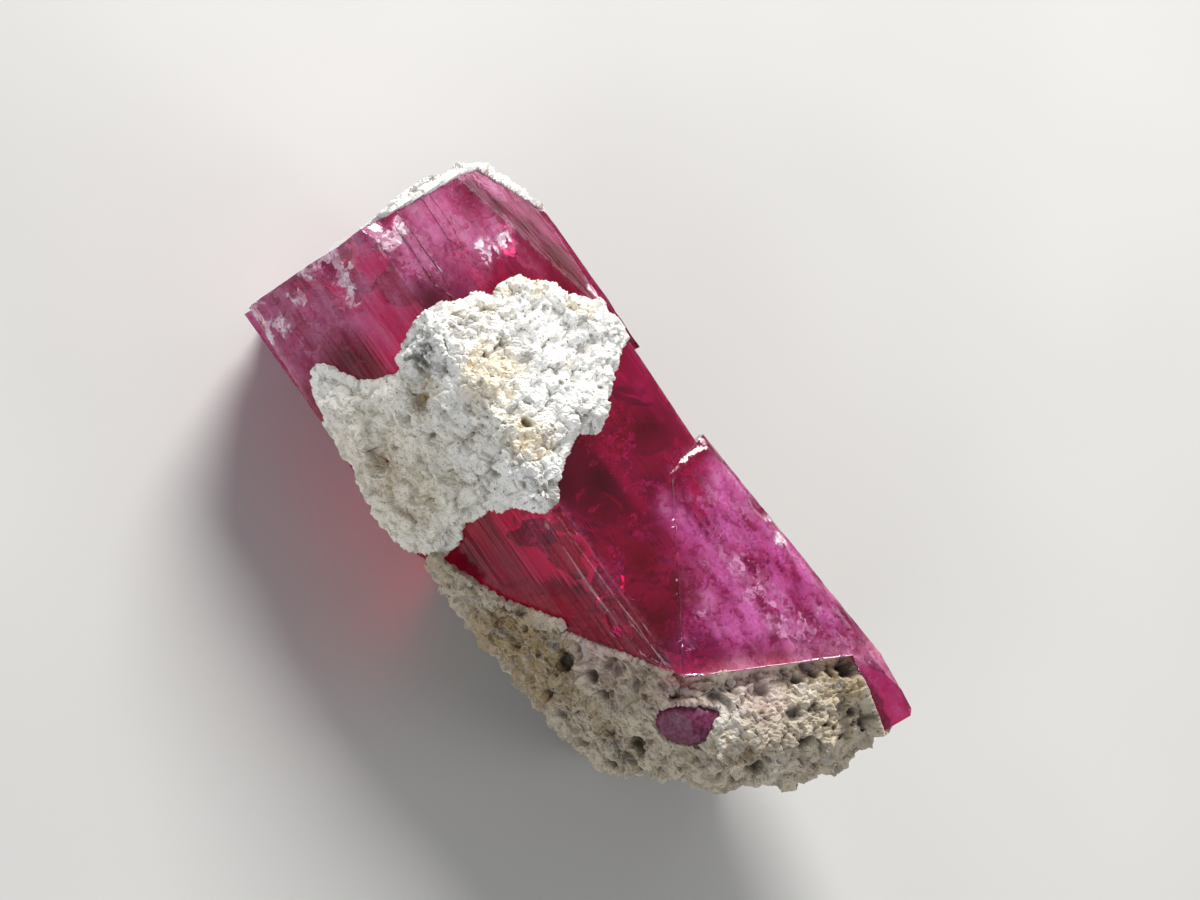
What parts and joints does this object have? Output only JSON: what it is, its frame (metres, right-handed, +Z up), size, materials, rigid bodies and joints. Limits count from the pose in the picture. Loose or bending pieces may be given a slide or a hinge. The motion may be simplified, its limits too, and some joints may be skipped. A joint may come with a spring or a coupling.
{
  "type": "raw red beryl crystal",
  "caption": "Stubby hexagonal crystal of translucent raspberry red beryl with pale sugary rhyolite on its ridge, its end and its broken foot.",
  "frame": {"origin": "on the prism face that the crystal rests on, straight below its long axis and half way along it", "axes": "+X along the crystal's long axis towards the broken end and its rock foot, +Z up, out of the upper prism face"},
  "size_m": [0.0112, 0.0059, 0.0053],
  "materials": {
    "beryl": "vitreous natural crystal faces, clear raspberry red with cloudy pink zones",
    "white_rhyolite": "matt sugary white rock with cream stains, small pits and a few dark specks",
    "grey_rhyolite": "matt grainy beige and grey rock with brown pits"
  },
  "bodies": {
    "root": {"beryl_crystal": "beryl", "rock_patch": "white_rhyolite", "rock_crown": "white_rhyolite", "rock_foot": "grey_rhyolite"}
  },
  "joints": []
}
